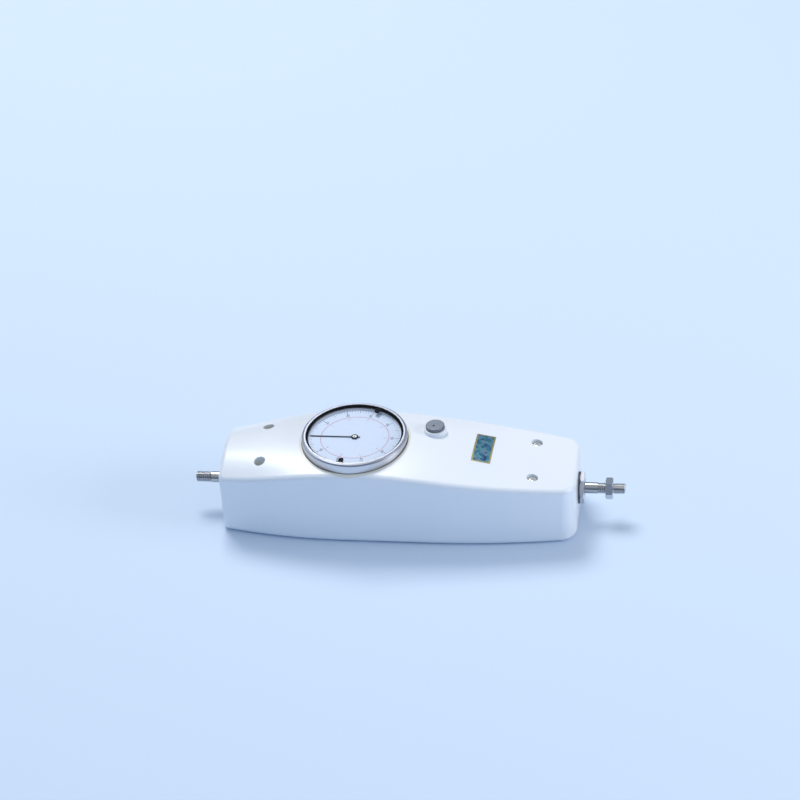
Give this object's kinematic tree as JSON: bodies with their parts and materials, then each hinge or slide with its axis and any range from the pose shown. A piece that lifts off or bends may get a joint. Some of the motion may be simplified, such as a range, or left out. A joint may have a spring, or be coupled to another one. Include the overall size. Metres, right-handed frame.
{
  "type": "force gauge",
  "caption": "Dial force gauge for push and pull: white crowned case, turnable bezel with limit markers, sprung measuring shaft with a stud at each end, and a hold button.",
  "frame": {"origin": "on the flat back of the case, under the dial's axis", "axes": "+Z out of the dial, +X along the measuring shaft towards the stud with the lock nut, +Y across the case towards the side that the button is on"},
  "size_m": [0.23, 0.06, 0.05],
  "materials": {
    "case": "satin white",
    "screw": "zinc plated",
    "brass": "turned",
    "frame_metal": "plain",
    "steel": "ground",
    "dark_steel": "dull",
    "nickel": "nickel plated",
    "spring": "spring wire",
    "needle": "black paint",
    "bezel": "satin plated",
    "dial": "pale silver",
    "black": "matt black",
    "crystal": "clear",
    "button": "knurled grey"
  },
  "bodies": {
    "housing": {"front_shell": "case", "rear_shell": "case", "case_screws": "screw", "mount_inserts": "brass", "chassis": "frame_metal", "chassis_screws": "screw", "left_bush": "steel", "right_bush": "steel", "bush_washer": "dark_steel", "bush_nut": "nickel", "lower_plate": "frame_metal", "upper_plate": "frame_metal", "plate_bushes": "brass", "lower_pillars": "brass", "upper_pillars": "brass", "movement_screws": "screw", "pull_spring": "spring", "push_spring": "spring", "button_spring": "spring"},
    "shaft": {"measuring_shaft": "steel", "spring_collar": "steel", "collar_pin": "steel", "rack": "steel", "rack_screws": "screw"},
    "nut": {"lock_nut": "nickel"},
    "idler": {"rack_pinion": "steel", "idler_wheel": "brass"},
    "needle": {"pointer_arbor": "steel", "pointer": "needle", "pointer_hub": "needle", "hub_cap": "nickel"},
    "dial": {"bezel": "bezel", "dial_face": "dial", "dial_spacer": "black", "crystal": "crystal", "snap_ring": "spring"},
    "marker_a": {"limit_marker_a": "black"},
    "marker_b": {"limit_marker_b": "black"},
    "button": {"button_cap": "button", "button_stem": "steel", "stem_clip": "spring"}
  },
  "joints": [
    {"name": "shaft_travel", "type": "slide", "parent": "housing", "child": "shaft", "axis": [1, 0, 0], "range_m": [-0.01, 0.01], "stiffness_N_per_m": 5000, "deforming": ["pull_spring", "push_spring"]},
    {"name": "idler_turn", "type": "hinge", "parent": "housing", "child": "idler", "pos_m": [-0.0098, 0.01, 0.02], "axis": [0, 0, 1], "range_deg": [-143.3, 143.3]},
    {"name": "pointer_turn", "type": "hinge", "parent": "housing", "child": "needle", "pos_m": [0, 0, 0.04], "axis": [0, 0, 1], "range_deg": [-358.2, 358.2]},
    {"name": "dial_turn", "type": "hinge", "parent": "housing", "child": "dial", "pos_m": [0, 0, 0.047], "axis": [0, 0, 1], "continuous": true},
    {"name": "marker_a_turn", "type": "hinge", "parent": "dial", "child": "marker_a", "pos_m": [0, 0, 0.049], "axis": [0, 0, 1], "range_deg": [-70, 70]},
    {"name": "marker_b_turn", "type": "hinge", "parent": "dial", "child": "marker_b", "pos_m": [0, 0, 0.049], "axis": [0, 0, 1], "range_deg": [-70, 70]},
    {"name": "lock_nut_turn", "type": "hinge", "parent": "shaft", "child": "nut", "pos_m": [0.13385, 0, 0.0182], "axis": [1, 0, 0], "continuous": true},
    {"name": "button_press", "type": "slide", "parent": "housing", "child": "button", "axis": [0, 0, -1], "range_m": [0, 0.0015], "stiffness_N_per_m": 600, "springref_m": -0.002, "deforming": ["button_spring"]}
  ],
  "couplings": [
    {"joint": "idler_turn", "follows": "shaft_travel", "rad_per_m": 250},
    {"joint": "pointer_turn", "follows": "shaft_travel", "rad_per_m": -625}
  ]
}
